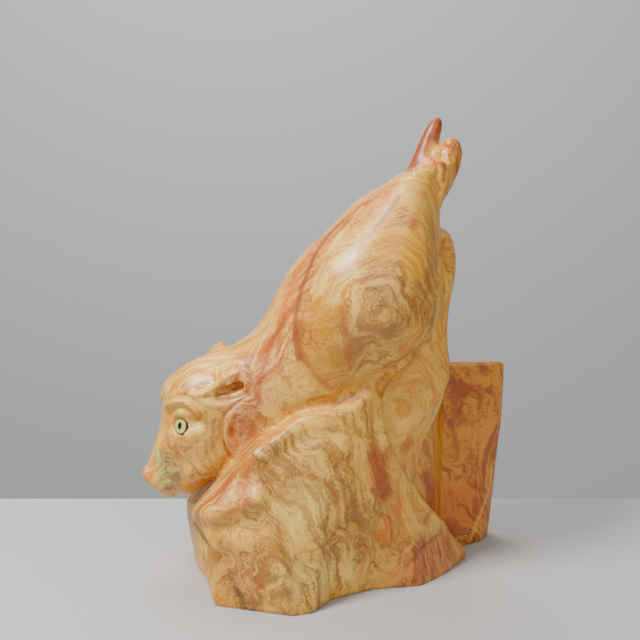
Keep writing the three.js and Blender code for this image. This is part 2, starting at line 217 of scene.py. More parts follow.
def landedOn(pixels):
    return tracedOn(pixels) if len(pixels) > 1 else np.array([stone.ray_cast(*sightLine(*pixels[0]))[0]] * 2)


headOrigin = np.array((-130.8, -13.5, 206)) * mm
headSide = np.array((0.2722, -0.9452, -0.1801))


def mirrored(line):
    flipped = line - 2 * ((line - headOrigin) @ headSide)[:, None] * headSide
    return np.array([stone.find_nearest(Vector(p))[0] for p in flipped])


def carve(strokes, bothSides=False):
    # each stroke: pixels, reach in mm, height in mm (negative cuts in); an edge rises straight to a crest
    places = placesOf(carving)
    normals = normalsOf(carving)
    moved = np.zeros(len(places))
    for stroke in strokes:
        line = landedOn(stroke["at"])
        for path, share in ([(line, 1), (mirrored(line), carvingSet["farSide"])] if bothSides else [(line, 1)]):
            reach = stroke["reach"] * mm
            near = np.flatnonzero(np.all((places > path.min(0) - reach) & (places < path.max(0) + reach), axis=1))
            closeness = np.clip(1 - distanceToLine(places[near], path) / reach, 0, 1)
            moved[near] += (closeness if stroke.get("edge") else soft(closeness)) * stroke["high"] * share * mm
    places += normals * moved[:, None]
    putPlaces(carving, places)


headStrokes = [
    {"name": "socket", "at": [(168.5, 415), (171, 411.5), (176, 409), (182.5, 409), (188, 412), (193, 416), (198, 421)], "reach": 7.5, "high": -4.2},
    {"name": "socket behind the eye", "at": [(193, 421), (199, 426)], "reach": 9, "high": -1.8},
    {"name": "socket before the eye", "at": [(167.5, 418), (168, 430)], "reach": 5, "high": -1.6},
    {"name": "brow", "at": [(166, 407), (171, 403), (177, 401.5), (184, 402.5), (190.5, 406), (196, 411), (200.5, 416)], "reach": 5.5, "high": 3.6},
    {"name": "groove over the brow", "at": [(168.5, 401), (171, 398), (177, 396), (184, 395.5), (190.5, 397.5), (195.5, 402), (199.5, 407.5),
                                            (203, 414.5), (205.3, 423)], "reach": 3, "high": -2.4},
    {"name": "forehead", "at": [(174, 376), (169, 386), (167, 396)], "reach": 9, "high": 2.2},
    {"name": "temple", "at": [(192, 393), (200, 400)], "reach": 6, "high": 1.5},
    {"name": "cheekbone", "at": [(188, 434), (194, 433), (201, 430)], "reach": 8, "high": 2.2},
    {"name": "under the cheekbone", "at": [(182, 441), (191, 444), (201, 442)], "reach": 4, "high": -0.9},
    {"name": "ear's front rim", "at": [(192, 396), (203, 394), (211, 389.5), (218, 385), (224, 380.5), (230, 376), (236, 373)], "reach": 4.5,
     "high": 2.2},
    {"name": "ear's old hollow", "at": [(229, 384), (236, 378)], "reach": 5, "high": 2.5},
    {"name": "ear's hollow", "at": [(221, 392.5), (228, 390), (235, 386.5), (240, 386)], "reach": 7, "high": -5.5},
    {"name": "ear's rear rim", "at": [(238.5, 371), (243.5, 375), (246.5, 382), (245.5, 390)], "reach": 4.5, "high": 2.8},
    {"name": "ear's lower edge", "at": [(205, 397), (217, 397.5), (227, 400), (237, 398), (245.5, 394)], "reach": 2.8, "high": -2.0},
    {"name": "behind the ear", "at": [(238, 366.5), (246, 369), (251.5, 380), (250, 393)], "reach": 3.5, "high": -2.0},
    {"name": "nick in front of the ear", "at": [(215.5, 370.5), (217, 381)], "reach": 3.5, "high": -2.4},
    {"name": "knob in front of the ear", "at": [(222, 369), (223, 376)], "reach": 4, "high": 2.0},
    {"name": "under the ear", "at": [(206, 404), (216, 406), (228, 405)], "reach": 5, "high": 1.4},
    {"name": "ruff line", "at": [(249, 396), (240, 401.5), (233.5, 406), (227, 411.5), (224, 416.5), (222.3, 424), (222.3, 435), (225, 445),
                                 (229, 454), (232.5, 460)], "reach": 2.8, "high": -2.4},
    {"name": "ruff", "at": [(232, 415), (229.5, 424), (229.5, 435), (232, 444), (237, 452)], "reach": 7, "high": 1.8},
    {"name": "cheek's front edge", "at": [(178, 441), (184, 452), (187, 464), (190, 474)], "reach": 8, "high": 1.8},
    {"name": "back of the muzzle", "at": [(172, 438), (174.5, 446), (178, 456), (180.5, 465), (182, 475), (187, 483), (193.5, 486.5)],
     "reach": 3.6, "high": -2.4},
    {"name": "whisker pad", "at": [(166, 466), (172, 475)], "reach": 10, "high": 2.2},
    {"name": "bridge", "at": [(166, 436), (161, 450), (156, 461)], "reach": 6, "high": 1.0},
    {"name": "behind the nose", "at": [(152, 463), (150.5, 470), (151, 478), (154.5, 485)], "reach": 3.2, "high": -3.4},
    {"name": "nose", "at": [(145, 474.5)], "reach": 7, "high": 1.8},
    {"name": "nostril", "at": [(147.3, 480)], "reach": 2.6, "high": -1.8},
    {"name": "upper lip line", "at": [(155.5, 488.5), (161, 484), (167, 480), (170, 477)], "reach": 2.4, "high": -2.0},
    {"name": "lower lip line", "at": [(160, 491.5), (166, 489), (170.5, 485)], "reach": 2.2, "high": -1.8},
    {"name": "lip crease", "at": [(172, 484), (176, 487), (182, 489)], "reach": 2.4, "high": -1.6},
]
rockStrokes = [
    {"name": "haunch's fullness", "at": [(352, 262), (362, 285)], "reach": 62, "high": 4.0},
    {"name": "haunch to ridge", "at": [(443, 236), (440, 262), (437, 287), (430, 327), (423, 347), (406, 361), (391, 373), (381, 383)],
     "reach": 6, "high": -7.0},
    {"name": "haunch's lip", "at": [(431, 300), (424, 325), (414, 343), (398, 357)], "reach": 9, "high": 2.0},
    {"name": "second fold", "at": [(424, 352), (410, 369), (394, 386), (383, 400)], "reach": 4.5, "high": -3.0},
    {"name": "heel of the paw", "at": [(413, 170), (421, 167.5), (430, 169), (437, 178), (441, 190)], "reach": 3.5, "high": -3.4},
    {"name": "first toe", "at": [(428, 153), (435, 157), (438, 167), (438, 178)], "reach": 3, "high": -2.8},
    {"name": "second toe", "at": [(444, 152), (447, 165), (444, 182)], "reach": 3, "high": -2.8},
    {"name": "inside of the short fin", "at": [(443, 146), (449, 149), (452, 158)], "reach": 4.5, "high": -3.5},
    {"name": "ledge crest", "edge": True, "at": [(244, 466), (260, 452), (280, 438), (297, 422.5), (310, 417.5), (327, 416), (344, 413.5),
                                                 (357, 405), (370, 394)], "reach": 14, "high": 3.6},
    {"name": "ledge", "at": [(262, 438), (275, 427), (303, 407), (330, 400), (347, 391)], "reach": 9, "high": -3.0},
    {"name": "front face's top", "at": [(282, 462), (300, 442), (330, 437)], "reach": 14, "high": -1.6},
    {"name": "front face's left crest", "edge": True, "at": [(259, 456), (257, 475), (256.5, 500)], "reach": 16, "high": 3.6},
    {"name": "front face's lower crest", "edge": True, "at": [(256.5, 500), (262, 509), (270, 521), (274, 538), (281, 558), (288, 582)],
     "reach": 18, "high": 3.2},
    {"name": "left facet's lower crest", "edge": True, "at": [(197, 513), (206, 513), (218, 514.5), (235, 507), (247, 503.5), (256.5, 500)],
     "reach": 15, "high": 4.5},
    {"name": "under the left facet", "at": [(214, 531), (235, 526), (255, 525)], "reach": 16, "high": -4.0},
    {"name": "low left", "at": [(222, 560), (245, 560)], "reach": 26, "high": -2.5},
    {"name": "under the peak's facet", "at": [(346, 417), (349, 428), (357, 436), (371, 437), (383, 432)], "reach": 4, "high": -2.4},
    {"name": "peak's facet", "at": [(358, 421), (370, 415)], "reach": 14, "high": 1.6},
    {"name": "front face's right crest", "edge": True, "at": [(379, 402), (383, 430), (391, 456), (401, 475), (412, 487)], "reach": 12,
     "high": 3.0},
    {"name": "toe's crease", "at": [(383, 496), (378, 507), (376.5, 530), (378, 553), (372, 568)], "reach": 6, "high": -2.6},
    {"name": "toe's edge", "edge": True, "at": [(413, 492), (430, 512), (455, 534), (463, 549)], "reach": 10, "high": 2.4},
    {"name": "crack", "at": [(195, 523), (205, 539), (221.5, 566), (235, 585), (243, 603)], "reach": 3, "high": -1.8},
    {"name": "knot's edge", "at": [(383, 514), (377, 525), (376, 538), (382, 550), (390, 551), (397, 540), (401, 525), (397, 516), (390, 513),
                                   (383, 514)], "reach": 2.8, "high": -1.0},
    {"name": "ridge's edge", "edge": True, "at": [(446, 236), (451, 247), (453, 262), (450, 285), (446, 315), (445, 340), (447, 362),
                                                  (444, 382), (436, 412), (420, 443), (414, 470)], "reach": 8, "high": 2.4},
    {"name": "slab's nick", "at": [(489, 466), (497, 460)], "reach": 3, "high": -1.2},
]
carve(headStrokes, bothSides=True)
carve(rockStrokes)

# lids: a thin raised ring round each eye
gazes = {"eye_left": Vector((-0.61, -0.76, 0.24)).normalized()}
headSideways = Vector(headSide)
gazes["eye_right"] = gazes["eye_left"] - 2 * gazes["eye_left"].dot(headSideways) * headSideways
eyeSet = {"radius": 10.0 * mm, "bulge": 5.2 * mm, "frontShare": 0.55, "lidReach": 2.4, "lidHigh": 0.7, "lidOut": 11.6 * mm}


def eyeAxes(name):
    low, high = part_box(name)
    ahead = gazes[name]
    across = Vector((0, 0, 1)).cross(ahead).normalized()
    return (low + high) / 2, across, ahead.cross(across), ahead


places = placesOf(carving)
normals = normalsOf(carving)
for name in gazes:
    centre, across, upright, ahead = eyeAxes(name)
    ring = []
    for i in range(25):
        turn = 2 * math.pi * i / 24
        out = across * math.cos(turn) + upright * math.sin(turn)
        ring.append(np.array(centre + out * eyeSet["lidOut"] + ahead * 1.5 * mm))
    away = distanceToLine(places, np.array(ring))
    places += normals * (soft(1 - away / (eyeSet["lidReach"] * mm)) * eyeSet["lidHigh"] * mm)[:, None]
putPlaces(carving, places)
applied(carving, "SMOOTH", factor=0.5, iterations=1)
pickOnly(carving)
bpy.ops.object.shade_smooth()

# eyes: glass domes, the iris laid out on a flat map seen from the front
for name in gazes:
    centre, across, upright, ahead = eyeAxes(name)
    bpy.ops.object.select_all(action="DESELECT")
    bpy.ops.mesh.primitive_uv_sphere_add(segments=48, ring_count=32, radius=1)
    eye = bpy.context.object
    eye.name = name + "_glass"
    iris = eye.data.uv_layers.active or eye.data.uv_layers.new(name="iris")
    for loop in eye.data.loops:
        spot = eye.data.vertices[loop.vertex_index].co
        iris.data[loop.index].uv = (spot.x / 2 + 0.5, spot.y / 2 + 0.5)
    for corner in eye.data.vertices:
        if corner.co.z > 0:
            corner.co.z *= eyeSet["frontShare"]
    turn = Matrix((across, upright, ahead)).transposed().to_4x4()
    size = Matrix.Diagonal((eyeSet["radius"], eyeSet["radius"], eyeSet["bulge"], 1))
    eye.data.transform(Matrix.Translation(centre) @ turn @ size)
    bpy.ops.object.shade_smooth()
    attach(eye, "root")
    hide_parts(name)
    gazes[name] = eye

# eye glass: a painted cabochon, so a glossy skin over a yellow-green iris, a dark upright pupil and a dark rim
eyeGlass = fresh("painted_eye_glass")
tree = eyeGlass.node_tree
flat = addNode(tree, "ShaderNodeUVMap", {"uv_map": iris.name}, {})
spot = addNode(tree, "ShaderNodeMapping", {"Location": (-1, -1, 0), "Scale": (2, 2, 0)}, {"Vector": flat.outputs[0]})
ringAway = addNode(tree, "ShaderNodeVectorMath", {"operation": "LENGTH"}, {0: spot.outputs[0]})
narrow = addNode(tree, "ShaderNodeMapping", {"Scale": (1 / 0.27, 1 / 0.40, 0)}, {"Vector": spot.outputs[0]})
pupilAway = addNode(tree, "ShaderNodeVectorMath", {"operation": "LENGTH"}, {0: narrow.outputs[0]})
fibres = addNode(tree, "ShaderNodeTexNoise", {"Scale": 9.0, "Detail": 3.0}, {"Vector": spot.outputs[0]})
irisTone = addNode(tree, "ShaderNodeValToRGB", {}, {"Fac": ringAway.outputs["Value"]})
ramp = irisTone.color_ramp
ramp.elements[0].position, ramp.elements[0].color = 0.2, srgb("#8f9a3c")
ramp.elements[1].position, ramp.elements[1].color = 0.99, srgb("#17140c")
for place, tone in ((0.45, "#c3c765"), (0.74, "#d2ce78"), (0.80, "#6e6428"), (0.86, "#241e10")):
    ramp.elements.new(place).color = srgb(tone)
speckled = addNode(tree, "ShaderNodeMix", {"data_type": "RGBA", "blend_type": "MULTIPLY", "Factor": 0.35},
                   {6: irisTone.outputs[0], 7: fibres.outputs["Color"]})
pupil = addNode(tree, "ShaderNodeMapRange", {"From Min": 0.85, "From Max": 1.1}, {"Value": pupilAway.outputs["Value"]})
whole = addNode(tree, "ShaderNodeMix", {"data_type": "RGBA", 6: srgb("#0c100a")}, {0: pupil.outputs[0], 7: speckled.outputs[2]})
shader = addNode(tree, "ShaderNodeBsdfPrincipled", {"Roughness": 0.06, "IOR": 1.52}, {"Base Color": whole.outputs[2]})
addNode(tree, "ShaderNodeOutputMaterial", {}, {"Surface": shader.outputs[0]})
for eye in gazes.values():
    eye.data.materials.append(eyeGlass)

# broad colours of the stone, painted on the carving, with a painted highlight and some painted shade among them:
# photograph pixels, reach in mm, its two tones, strength
print("stone")
stoneTones = {"pale": "#f0cc62", "cream": "#dfae48", "sand": "#c89742", "ochre": "#cf861a", "gold": "#b07a0c", "yellow": "#e6a810",
              "orange": "#d06c12", "rust": "#9a4614", "brick": "#7d3218", "salmon": "#c47230", "tan": "#8f622a", "moss": "#bdb368",
              "umber": "#55361c", "pink": "#dd8c3c", "rose": "#dc9460", "smoke": "#665338", "slate": "#56564c"}
stoneGround = {"near": ("cream", "ochre"), "deep": ("ochre", "rust"), "from": -0.05, "over": 0.14}
stoneAreas = [
    {"name": "front of the rock", "at": [(300, 450), (330, 520), (290, 580)], "reach": 90, "tones": ("cream", "tan"), "strong": 0.85},
    {"name": "back", "at": [(285, 340), (290, 300), (310, 268), (345, 225), (380, 195)], "reach": 26, "tones": ("pink", "rust"), "strong": 0.8},
    # painted highlight: a pale tone laid where the key light's reflection sits on the haunch
    {"name": "painted highlight on the haunch", "at": [(352, 262), (340, 300)], "reach": 30, "tones": ("pale", "ochre"), "strong": 0.7},
    {"name": "haunch's heart", "at": [(400, 285), (385, 330), (365, 345)], "reach": 42, "tones": ("sand", "tan"), "strong": 0.85},
    {"name": "haunch's yellow", "at": [(392, 248), (408, 243), (412, 262)], "reach": 19, "tones": ("yellow", "ochre"), "strong": 0.95},
    {"name": "haunch's far edge", "at": [(430, 215), (436, 260), (425, 320)], "reach": 12, "tones": ("ochre", "tan"), "strong": 0.6},
    {"name": "haunch's red", "at": [(415, 208), (411, 222)], "reach": 9, "tones": ("orange", "rust"), "strong": 0.7},
    {"name": "haunch's low tip", "at": [(350, 385), (375, 372), (400, 358)], "reach": 10, "tones": ("ochre", "gold"), "strong": 0.8},
    {"name": "shoulder", "at": [(318, 315), (312, 345), (330, 376)], "reach": 24, "tones": ("ochre", "gold"), "strong": 0.9},
    {"name": "top", "at": [(415, 190), (395, 215)], "reach": 18, "tones": ("cream", "pink"), "strong": 0.8},
    {"name": "neck", "at": [(270, 350), (250, 385), (245, 430)], "reach": 28, "tones": ("rose", "rust"), "strong": 0.75},
    {"name": "neck's pale patch", "at": [(286, 337), (290, 372)], "reach": 9, "tones": ("pale", "salmon"), "strong": 0.6},
    {"name": "crown", "at": [(195, 372), (215, 360)], "reach": 24, "tones": ("pale", "pink"), "strong": 0.85},
    {"name": "cheek", "at": [(195, 445), (205, 470)], "reach": 26, "tones": ("cream", "tan"), "strong": 0.8},
    {"name": "ruff", "at": [(238, 430), (236, 450)], "reach": 14, "tones": ("pink", "rust"), "strong": 0.6},
    # the throat's darker tones are partly the stone's colour and partly painted shade under the head
    {"name": "throat", "at": [(215, 480), (200, 485)], "reach": 12, "tones": ("salmon", "rust"), "strong": 0.6},
    {"name": "forehead", "at": [(166, 400), (170, 380), (182, 362)], "reach": 12, "tones": ("moss", "sand"), "strong": 0.9},
    # painted highlight: a pale tone on the cheekbone's bump where light catches it
    {"name": "cheekbone", "at": [(190, 431), (200, 432)], "reach": 9, "tones": ("pale", "rose"), "strong": 0.8},
    {"name": "bridge", "at": [(168, 437), (170, 446)], "reach": 6, "tones": ("ochre", "orange"), "strong": 0.8},
    {"name": "muzzle", "at": [(160, 455), (170, 470), (172, 487)], "reach": 15, "tones": ("moss", "tan"), "strong": 0.9},
    {"name": "nose", "at": [(144, 476)], "reach": 8, "tones": ("rose", "orange"), "strong": 0.9},
    {"name": "ledge", "at": [(262, 438), (300, 415), (350, 396)], "reach": 15, "tones": ("yellow", "orange"), "strong": 0.9},
    {"name": "peak", "at": [(362, 420), (368, 400)], "reach": 14, "tones": ("cream", "ochre"), "strong": 0.85},
    {"name": "rock's cream heart", "at": [(302, 500), (302, 525)], "reach": 26, "tones": ("pale", "sand"), "strong": 0.85},
    {"name": "rock's left facet", "at": [(205, 502), (240, 480)], "reach": 26, "tones": ("rose", "rust"), "strong": 0.7},
    {"name": "rock's red middle", "at": [(345, 458), (352, 480), (356, 560)], "reach": 12, "tones": ("ochre", "tan"), "strong": 0.6},
    {"name": "rock's red edge", "at": [(378, 460), (385, 490)], "reach": 15, "tones": ("orange", "rust"), "strong": 0.85},
    {"name": "toe", "at": [(410, 560), (440, 555), (400, 575)], "reach": 32, "tones": ("salmon", "brick"), "strong": 0.85},
    {"name": "toe's yellow", "at": [(384, 532), (400, 505)], "reach": 13, "tones": ("yellow", "orange"), "strong": 0.85},
    # the low left's umber is partly the stone's own streaks and partly painted shade under the left facet
    {"name": "low left", "at": [(225, 560), (245, 600)], "reach": 24, "tones": ("salmon", "umber"), "strong": 0.6},
    {"name": "low middle", "at": [(305, 580), (345, 575)], "reach": 18, "tones": ("pale", "tan"), "strong": 0.6},
    {"name": "ridge", "at": [(430, 380), (412, 420)], "reach": 22, "tones": ("cream", "ochre"), "strong": 0.7},
    {"name": "ridge's foot", "at": [(408, 445), (405, 465)], "reach": 11, "tones": ("ochre", "rust"), "strong": 0.6},
    {"name": "slab's yellow", "at": [(440, 455), (462, 450)], "reach": 18, "tones": ("ochre", "gold"), "strong": 0.7},
    {"name": "slab's red", "at": [(465, 500), (485, 530), (430, 500)], "reach": 32, "tones": ("orange", "rust"), "strong": 0.8},
    {"name": "slab's foot", "at": [(485, 530), (462, 540)], "reach": 14, "tones": ("cream", "rust"), "strong": 0.6},
    # painted shade: the tall fin's faces turn from the light, so its tones are darkened to rust and brick
    {"name": "tall fin in painted shade", "at": [(412, 165), (425, 140), (436, 122)], "reach": 12, "tones": ("rust", "brick"), "strong": 1.0},
    {"name": "short fin", "at": [(455, 145), (455, 175)], "reach": 9, "tones": ("ochre", "rust"), "strong": 0.9},
    {"name": "toes at the top", "at": [(428, 160), (445, 165)], "reach": 9, "tones": ("orange", "rust"), "strong": 0.9},
    # the boss under the chin is brown partly from the stone and partly from painted shade, as it sits under the head
    {"name": "boss under the chin", "at": [(194, 500), (194, 540)], "reach": 22, "tones": ("sand", "tan"), "strong": 0.9},
]
# streaks and veins that show from a step away, with a painted highlight line and painted shade in a crease and a hollow
# among them: half width in mm
stoneVeins = [
    {"name": "back's long streak", "at": [(398, 197), (385, 217), (372, 233), (362, 253), (353, 272)], "wide": 2.4, "tone": "brick", "strong": 0.7},
    {"name": "back's second streak", "at": [(343, 220), (323, 243), (310, 268), (302, 288), (296, 315), (296, 340), (299, 356)], "wide": 3,
     "tone": "brick", "strong": 0.75},
    {"name": "back's orange band", "at": [(330, 222), (306, 258), (290, 292), (278, 322)], "wide": 4, "tone": "orange", "strong": 0.8},
    {"name": "back's cream band", "at": [(362, 208), (338, 240), (325, 262), (312, 292)], "wide": 2.6, "tone": "pale", "strong": 0.6},
    {"name": "shoulder's streak", "at": [(346, 298), (343, 320), (347, 346), (350, 368)], "wide": 2.2, "tone": "rust", "strong": 0.5},
    {"name": "shoulder's rim", "at": [(303, 312), (300, 335), (304, 358), (318, 378), (330, 388)], "wide": 2.4, "tone": "rust", "strong": 0.6},
    {"name": "haunch's thin line", "at": [(370, 246), (368, 268), (374, 285), (382, 304), (390, 320), (398, 330), (410, 322)], "wide": 1.8,
     "tone": "smoke", "strong": 0.55},
    {"name": "haunch's ring", "at": [(398, 262), (404, 275), (402, 290), (395, 300)], "wide": 2, "tone": "umber", "strong": 0.5},
    {"name": "haunch's outer ring", "at": [(395, 225), (420, 222), (428, 250), (427, 290), (416, 318)], "wide": 1.8, "tone": "tan", "strong": 0.5},
    # painted shade: umber darkening laid along the crease between haunch and ridge
    {"name": "painted shade in the haunch's crease", "at": [(440, 250), (436, 300), (429, 335), (410, 352), (385, 366)], "wide": 3, "tone": "umber", "strong": 0.6},
    {"name": "streak on the ridge", "at": [(431, 338), (410, 362), (392, 378), (382, 394)], "wide": 3, "tone": "rust", "strong": 0.7},
    {"name": "neck streaks", "at": [(284, 318), (272, 345), (262, 372), (258, 396)], "wide": 2.4, "tone": "rust", "strong": 0.6},
    {"name": "neck streak by the ear", "at": [(256, 340), (246, 358), (252, 385), (262, 405)], "wide": 2.2, "tone": "rust", "strong": 0.55},
    {"name": "neck pale streak", "at": [(272, 318), (258, 350), (252, 368)], "wide": 2.2, "tone": "pale", "strong": 0.6},
    {"name": "crown's streak", "at": [(222, 364), (200, 370), (182, 381), (174, 393)], "wide": 1.8, "tone": "orange", "strong": 0.6},
    {"name": "crown's second streak", "at": [(214, 380), (200, 384), (188, 391), (180, 397)], "wide": 1.6, "tone": "rust", "strong": 0.5},
    {"name": "crown's front streak", "at": [(190, 366), (177, 378), (171, 392)], "wide": 1.5, "tone": "rust", "strong": 0.45},
    # painted shade: umber darkening in the ear's hollow
    {"name": "painted shade in the ear's hollow", "at": [(218, 396), (230, 391), (238, 387)], "wide": 3.4, "tone": "umber", "strong": 0.55},
    {"name": "cheek line", "at": [(205, 440), (207, 454), (212, 464), (218, 474)], "wide": 1.3, "tone": "smoke", "strong": 0.5},
    {"name": "cheek line", "at": [(183, 445), (187, 458), (195, 468), (203, 480)], "wide": 1.3, "tone": "smoke", "strong": 0.55},
    {"name": "cheek line", "at": [(177, 442), (179, 454), (184, 465)], "wide": 1.3, "tone": "smoke", "strong": 0.5},
    {"name": "cheek line", "at": [(196, 446), (199, 458), (208, 470)], "wide": 1.3, "tone": "rust", "strong": 0.5},
    {"name": "cheek line", "at": [(214, 420), (212, 440), (216, 456)], "wide": 1.3, "tone": "smoke", "strong": 0.4},
    {"name": "temple line", "at": [(206, 412), (207, 425), (203, 436)], "wide": 1.3, "tone": "smoke", "strong": 0.4},
    {"name": "muzzle vein", "at": [(160, 449), (163, 452), (168, 454)], "wide": 1.6, "tone": "slate", "strong": 0.7},
    {"name": "muzzle vein", "at": [(168, 472), (173, 476), (177, 473), (180, 480)], "wide": 2.0, "tone": "slate", "strong": 0.75},
    {"name": "muzzle vein", "at": [(165, 458), (166, 466), (162, 472)], "wide": 1.4, "tone": "slate", "strong": 0.5},
    {"name": "rock's dark line", "at": [(323, 447), (338, 473), (345, 498), (347, 527)], "wide": 1.9, "tone": "umber", "strong": 0.55},
    {"name": "heart's ring", "at": [(285, 478), (303, 474), (325, 482), (337, 503), (337, 528), (322, 547), (300, 552)], "wide": 2.2, "tone": "rust",
     "strong": 0.5},
    {"name": "heart's inner ring", "at": [(290, 487), (312, 486), (326, 505), (325, 528), (308, 543)], "wide": 1.8, "tone": "tan", "strong": 0.45},
    {"name": "left crack", "at": [(195, 523), (205, 540), (222, 566), (234, 584), (246, 609)], "wide": 2.2, "tone": "umber", "strong": 0.7},
    {"name": "left red streak", "at": [(228, 548), (242, 566), (262, 588)], "wide": 3, "tone": "rust", "strong": 0.6},
    {"name": "left second streak", "at": [(214, 522), (232, 545), (256, 572)], "wide": 2, "tone": "tan", "strong": 0.5},
    {"name": "facet streak", "at": [(251, 447), (236, 468), (222, 492), (214, 508)], "wide": 2, "tone": "rust", "strong": 0.6},
    {"name": "facet streak", "at": [(254, 462), (247, 484), (246, 500), (247, 530)], "wide": 2, "tone": "rust", "strong": 0.6},
    {"name": "facet pale streak", "at": [(256, 446), (243, 466), (231, 494)], "wide": 1.8, "tone": "pale", "strong": 0.6},
    {"name": "ledge streak", "at": [(355, 394), (330, 408), (307, 418), (287, 431), (273, 438), (260, 448)], "wide": 2, "tone": "rust", "strong": 0.7},
    # painted highlight: a pale line along the ledge crest where light catches the edge
    {"name": "painted highlight on the crest", "at": [(260, 455), (280, 439), (297, 424), (310, 418), (327, 416), (344, 413)], "wide": 1.8, "tone": "pale",
     "strong": 0.6},
    {"name": "brick patch", "at": [(374, 445), (383, 470), (378, 492)], "wide": 6, "tone": "rust", "strong": 0.5},
    {"name": "upper brick patch", "at": [(330, 450), (338, 462)], "wide": 4, "tone": "rust", "strong": 0.5},
    {"name": "knot", "at": [(383, 514), (377, 526), (377, 540), (383, 550)], "wide": 2.0, "tone": "rust", "strong": 0.7},
    {"name": "knot's right", "at": [(388, 516), (392, 530), (390, 546)], "wide": 1.8, "tone": "rust", "strong": 0.6},
    {"name": "toe stripe", "at": [(371, 563), (385, 572), (405, 566), (424, 546), (442, 532)], "wide": 2.4, "tone": "brick", "strong": 0.6},
    {"name": "toe pale stripe", "at": [(380, 560), (400, 556), (418, 538)], "wide": 2.2, "tone": "cream", "strong": 0.5},
    {"name": "low blob", "at": [(350, 555), (354, 572)], "wide": 7, "tone": "pale", "strong": 0.5},
    {"name": "low blob", "at": [(298, 565), (296, 590)], "wide": 6, "tone": "pale", "strong": 0.5},
    {"name": "slab's brick", "at": [(450, 420), (458, 450)], "wide": 4, "tone": "brick", "strong": 0.5},
    {"name": "slab's brick", "at": [(426, 478), (432, 500), (425, 520)], "wide": 6, "tone": "brick", "strong": 0.6},
    {"name": "slab's pale vein", "at": [(492, 462), (490, 486), (478, 520), (470, 540)], "wide": 2.2, "tone": "cream", "strong": 0.6},
]


places = placesOf(carving)
depth = soft((places[:, 1] - stoneGround["from"]) / stoneGround["over"])[:, None]
wobble = np.array([noise.noise(Vector(p) * 22) + 0.6 * noise.noise(Vector(p) * 70) for p in places])
landed = [distanceToLine(places, landedOn(area["at"])) for area in stoneAreas]
veined = [distanceToLine(places, landedOn(vein["at"])) for vein in stoneVeins]
for which, layer in enumerate(("paleTone", "deepTone")):
    near, deep = (np.array(srgb(stoneTones[stoneGround[end][which]])) for end in ("near", "deep"))
    tone = near * (1 - depth) + deep * depth
    for area, away in zip(stoneAreas, landed):
        share = (soft(1.25 - away / (area["reach"] * mm) + 0.45 * wobble) * area["strong"])[:, None]
        tone = tone * (1 - share) + np.array(srgb(stoneTones[area["tones"][which]])) * share
    for vein, away in zip(stoneVeins, veined):
        share = (soft(1.4 - away / (vein["wide"] * mm) + 0.7 * wobble) * vein["strong"])[:, None]
        tone = tone * (1 - share) + np.array(srgb(stoneTones[vein["tone"]])) * share
    tint = carving.data.color_attributes.new(layer, "FLOAT_COLOR", "POINT")
    tint.data.foreach_set("color", tone.astype(np.float32).ravel())

# polished banded marble: layers across the block cut open by the carving, so rings on the flats and streaks on the sides
marble = fresh("polished_banded_marble")
tree = marble.node_tree
spot = addNode(tree, "ShaderNodeTexCoord", {}, {}).outputs["Object"]
broad = addNode(tree, "ShaderNodeTexNoise", {"Scale": 9.0, "Detail": 1.0}, {"Vector": spot})
fold = addNode(tree, "ShaderNodeTexNoise", {"Scale": 32.0, "Detail": 2.0}, {"Vector": spot})
bent = addNode(tree, "ShaderNodeVectorMath", {"operation": "MULTIPLY_ADD", 1: (0.05, 0.05, 0.05)}, {0: broad.outputs["Color"], 2: spot})
bent = addNode(tree, "ShaderNodeVectorMath", {"operation": "MULTIPLY_ADD", 1: (0.016, 0.016, 0.016)},
               {0: fold.outputs["Color"], 2: bent.outputs[0]})
layer = addNode(tree, "ShaderNodeVectorMath", {"operation": "DOT_PRODUCT", 1: (0.10, 1.0, 0.12)}, {0: bent.outputs[0]})
parts = addNode(tree, "ShaderNodeSeparateXYZ", {}, {0: bent.outputs[0]})
deepened = addNode(tree, "ShaderNodeMath", {"operation": "MULTIPLY", 1: 10.0}, {0: layer.outputs["Value"]})
bed = addNode(tree, "ShaderNodeCombineXYZ", {}, {"X": parts.outputs["X"], "Y": deepened.outputs[0], "Z": parts.outputs["Z"]})
bands = addNode(tree, "ShaderNodeTexNoise", {"Scale": 14.0, "Detail": 2.5, "Roughness": 0.55}, {"Vector": bed.outputs[0]})
streaks = addNode(tree, "ShaderNodeTexNoise", {"Scale": 44.0, "Detail": 3.0, "Roughness": 0.65}, {"Vector": bed.outputs[0]})
grain = addNode(tree, "ShaderNodeTexNoise", {"Scale": 420.0, "Detail": 2.0, "Roughness": 0.7}, {"Vector": spot})
mixed = addNode(tree, "ShaderNodeMath", {"operation": "MULTIPLY_ADD", 1: 0.9}, {0: streaks.outputs["Fac"], 2: bands.outputs["Fac"]})
mixed = addNode(tree, "ShaderNodeMath", {"operation": "MULTIPLY_ADD", 1: 0.6}, {0: grain.outputs["Fac"], 2: mixed.outputs[0]})
share = addNode(tree, "ShaderNodeMapRange", {"interpolation_type": "SMOOTHSTEP", "From Min": 1.06, "From Max": 1.42}, {"Value": mixed.outputs[0]})
pale = addNode(tree, "ShaderNodeAttribute", {"attribute_name": "paleTone"}, {}).outputs["Color"]
deep = addNode(tree, "ShaderNodeAttribute", {"attribute_name": "deepTone"}, {}).outputs["Color"]
colour = addNode(tree, "ShaderNodeMix", {"data_type": "RGBA"}, {0: share.outputs[0], 6: deep, 7: pale})
